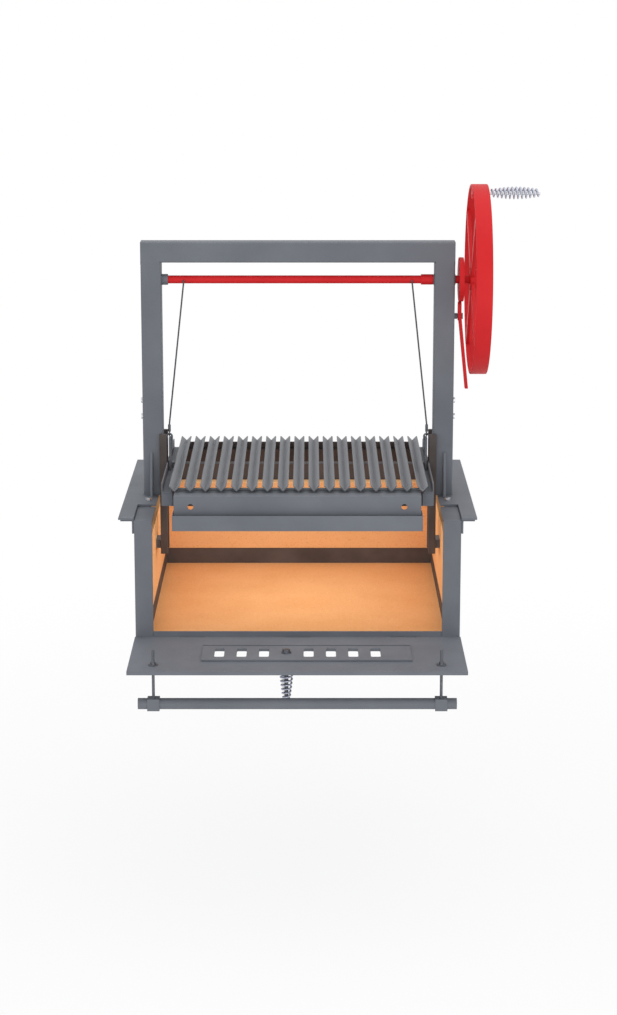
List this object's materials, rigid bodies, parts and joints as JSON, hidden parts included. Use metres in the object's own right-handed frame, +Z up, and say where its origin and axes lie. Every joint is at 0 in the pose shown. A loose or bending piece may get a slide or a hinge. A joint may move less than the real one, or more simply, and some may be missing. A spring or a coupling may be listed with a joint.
{
  "type": "santa maria grill",
  "caption": "Built-in Santa Maria grill: brick-lined firebox with fold-down door and a V-bar grate that a hand wheel raises on two cables under a tube gallows.",
  "frame": {"origin": "midway between the gallows posts, at the height of the counter that the flange angles rest on", "axes": "+X to the right along the front, +Y to the back, +Z up"},
  "size_m": [1.0388, 1.03, 1.1978],
  "materials": {
    "charcoal_steel": "satin charcoal paint",
    "dark_inner_steel": "dark heat-worn steel",
    "fire_brick": "matt orange fire clay",
    "red_paint": "red paint",
    "zinc": "zinc plate",
    "cable": "steel wire rope",
    "bright_wire": "bright coiled wire"
  },
  "bodies": {
    "firebox": {"left_flange_plate": "charcoal_steel", "right_flange_plate": "charcoal_steel", "flange_angles": "charcoal_steel", "left_corner_post": "charcoal_steel", "right_corner_post": "charcoal_steel", "left_side_wall": "dark_inner_steel", "right_side_wall": "dark_inner_steel", "rear_wall": "dark_inner_steel", "bottom_pan": "dark_inner_steel", "front_sill": "charcoal_steel", "floor_bricks": "fire_brick", "brick_ledges": "dark_inner_steel", "left_bricks": "fire_brick", "right_bricks": "fire_brick", "rear_bricks": "fire_brick", "guide_bars": "charcoal_steel", "flange_bolts": "zinc", "left_post": "charcoal_steel", "right_post": "charcoal_steel", "post_sockets": "charcoal_steel", "beam": "charcoal_steel", "post_bolts": "zinc", "gussets": "charcoal_steel", "left_bush": "charcoal_steel", "right_bush": "charcoal_steel", "brake_pin": "charcoal_steel", "sill_barrels": "charcoal_steel", "hinge_pins": "zinc"},
    "carriage": {"left_side_tube": "charcoal_steel", "right_side_tube": "charcoal_steel", "cross_tubes": "charcoal_steel", "carriage_legs": "charcoal_steel", "left_lift_hook": "charcoal_steel", "right_lift_hook": "charcoal_steel", "cable_eyes": "zinc", "left_cable": "cable", "right_cable": "cable", "grate_side_angles": "charcoal_steel", "grate_cross_bars": "charcoal_steel", "grate_bars": "charcoal_steel", "drip_apron": "charcoal_steel", "drip_trough": "charcoal_steel"},
    "windlass": {"windlass_shaft": "red_paint", "shaft_collar": "red_paint", "brake_disc": "red_paint", "wheel_hub": "red_paint", "wheel_spokes": "red_paint", "wheel_rim": "red_paint", "handle_stud": "zinc", "wheel_grip": "bright_wire"},
    "brake": {"brake_lever": "red_paint"},
    "door": {"door_panel": "charcoal_steel", "door_barrels": "charcoal_steel", "rail_rods": "zinc", "rail_tube": "charcoal_steel", "rail_collars": "charcoal_steel", "damper_guides": "charcoal_steel"},
    "damper": {"damper_slide": "charcoal_steel", "damper_bolt": "zinc", "damper_grip": "bright_wire"}
  },
  "joints": [
    {"name": "lift", "type": "slide", "parent": "firebox", "child": "carriage", "axis": [0, 0, 1], "range_m": [0, 0.34], "deforming": ["left_cable", "right_cable"]},
    {"name": "windlass_turn", "type": "hinge", "parent": "firebox", "child": "windlass", "pos_m": [0, 0, 0.5565], "axis": [-1, 0, 0], "range_deg": [0, 1660]},
    {"name": "brake_swing", "type": "hinge", "parent": "firebox", "child": "brake", "pos_m": [0.406, 0, 0.4645], "axis": [1, 0, 0], "range_deg": [-20, 20]},
    {"name": "door_fold", "type": "hinge", "parent": "firebox", "child": "door", "pos_m": [0, -0.283, -0.294], "axis": [-1, 0, 0], "range_deg": [0, 90]},
    {"name": "damper_shift", "type": "slide", "parent": "door", "child": "damper", "axis": [1, 0, 0], "range_m": [-0.0268, 0]}
  ],
  "couplings": [
    {"joint": "windlass_turn", "follows": "lift", "rad_per_m": 84.746}
  ]
}
